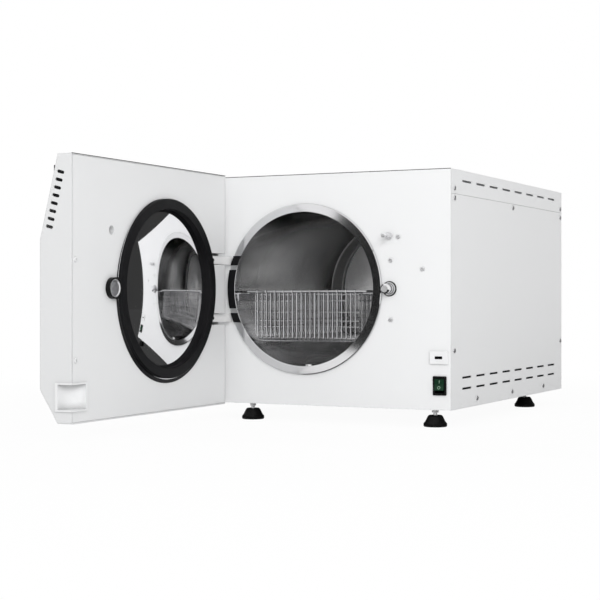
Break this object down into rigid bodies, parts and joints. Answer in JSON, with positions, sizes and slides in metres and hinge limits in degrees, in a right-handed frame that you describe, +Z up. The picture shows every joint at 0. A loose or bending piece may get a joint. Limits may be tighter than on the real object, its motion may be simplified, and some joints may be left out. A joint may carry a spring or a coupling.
{
  "type": "vacuum autoclave",
  "caption": "Bench-top vacuum steam autoclave with a side-hung door standing open and a wire basket in its round steel chamber.",
  "frame": {"origin": "middle of the base of the whole object's box with the door open at a right angle, on the plane of the feet's soles", "axes": "+Z up, +Y from the front to the back of the housing, +X to the right as seen from the front"},
  "size_m": [0.4416, 1.073, 0.402],
  "materials": {
    "white_paint": "satin powder coat, off-white",
    "door_white": "satin powder coat, pale grey-white",
    "white_plastic": "smooth moulded, off-white",
    "black_rubber": "moulded silicone, black",
    "dark_trim": "moulded, dark grey",
    "black_plastic": "moulded, black",
    "mirror_steel": "stainless steel, mirror polished",
    "polished_steel": "stainless steel, polished",
    "wire_steel": "stainless wire, electropolished",
    "zinc": "zinc plated",
    "green_plastic": "translucent, dark green",
    "sheet_steel": "galvanised sheet",
    "aluminium": "cast or extruded, bare",
    "copper": "drawn tube",
    "wool": "pressed insulation wool",
    "heater_rubber": "silicone heater mat",
    "board_green": "circuit board",
    "tank_plastic": "moulded, milky",
    "window_glass": "tinted display window",
    "key_grey": "moulded, mid grey"
  },
  "bodies": {
    "housing": {"side_panels": "white_paint", "top_cover": "white_paint", "base_pan": "sheet_steel", "rear_panel": "white_paint", "inner_frame": "sheet_steel", "case_screws": "zinc", "front_panel": "white_paint", "usb_plate": "white_plastic", "switch_frame": "black_plastic", "chamber_ring": "polished_steel", "hinge_pads": "black_rubber", "chamber_vessel": "polished_steel", "heater_bands": "heater_rubber", "insulation_jacket": "wool", "chamber_cradle": "sheet_steel", "chamber_strainer": "polished_steel", "shelf_rails": "polished_steel", "hinge_arms": "white_paint", "lock_guide": "black_plastic", "lock_motor": "aluminium", "sensor_bush": "zinc", "foot_pads": "black_plastic", "foot_studs": "zinc", "fan_frame": "black_plastic", "condenser": "aluminium", "water_tanks": "tank_plastic", "vacuum_pump": "aluminium", "valve_block": "aluminium", "bay_plate": "sheet_steel", "control_board": "board_green", "power_supply": "sheet_steel", "pipes": "copper", "mains_inlet": "black_plastic", "drain_fittings": "polished_steel"},
    "door": {"hinge_bracket": "sheet_steel", "hinge_pins": "polished_steel", "door_cover": "white_paint", "door_plate": "door_white", "door_screws": "door_white", "finger_pull": "white_plastic", "lid_disc": "mirror_steel", "lid_gasket": "black_rubber", "lid_rim": "mirror_steel", "lid_trim": "dark_trim", "lid_yoke": "sheet_steel", "latch_boss": "black_plastic", "latch_cup": "mirror_steel", "display_window": "window_glass", "key_board": "board_green"},
    "basket": {"basket_rim": "wire_steel", "basket_ends": "wire_steel", "basket_sides": "wire_steel", "basket_floor": "wire_steel"},
    "lock_pin": {"lock_pin": "mirror_steel"},
    "sensor_plunger": {"sensor_plunger": "polished_steel"},
    "rocker": {"rocker": "green_plastic"},
    "fan_rotor": {"fan_rotor": "black_plastic"},
    "key_1": {"key_1": "key_grey"},
    "key_2": {"key_2": "key_grey"},
    "key_3": {"key_3": "key_grey"}
  },
  "joints": [
    {"name": "door_hinge", "type": "hinge", "parent": "housing", "child": "door", "pos_m": [-0.198, -0.1225, 0.2155], "axis": [0, 0, 1], "range_deg": [-12, 90]},
    {"name": "lock_slide", "type": "slide", "parent": "housing", "child": "lock_pin", "axis": [0, 1, 0], "range_m": [0, 0.008]},
    {"name": "sensor_slide", "type": "slide", "parent": "housing", "child": "sensor_plunger", "axis": [0, 1, 0], "range_m": [0, 0.01], "stiffness_N_per_m": 150, "springref_m": -0.002},
    {"name": "rocker_tilt", "type": "hinge", "parent": "housing", "child": "rocker", "pos_m": [0.2011, -0.0715, 0.065], "axis": [1, 0, 0], "range_deg": [0, 24]},
    {"name": "basket_slide", "type": "slide", "parent": "housing", "child": "basket", "axis": [0, 1, 0], "range_m": [-0.3, 0]},
    {"name": "fan_spin", "type": "hinge", "parent": "housing", "child": "fan_rotor", "pos_m": [-0.111, 0.5095, 0.217], "axis": [0, 1, 0], "continuous": true},
    {"name": "key_1_press", "type": "slide", "parent": "door", "child": "key_1", "axis": [0.9697, 0, -0.2445], "range_m": [0, 0.001], "stiffness_N_per_m": 400, "springref_m": -0.0005},
    {"name": "key_2_press", "type": "slide", "parent": "door", "child": "key_2", "axis": [0.9697, 0, -0.2445], "range_m": [0, 0.001], "stiffness_N_per_m": 400, "springref_m": -0.0005},
    {"name": "key_3_press", "type": "slide", "parent": "door", "child": "key_3", "axis": [0.9697, 0, -0.2445], "range_m": [0, 0.001], "stiffness_N_per_m": 400, "springref_m": -0.0005}
  ]
}
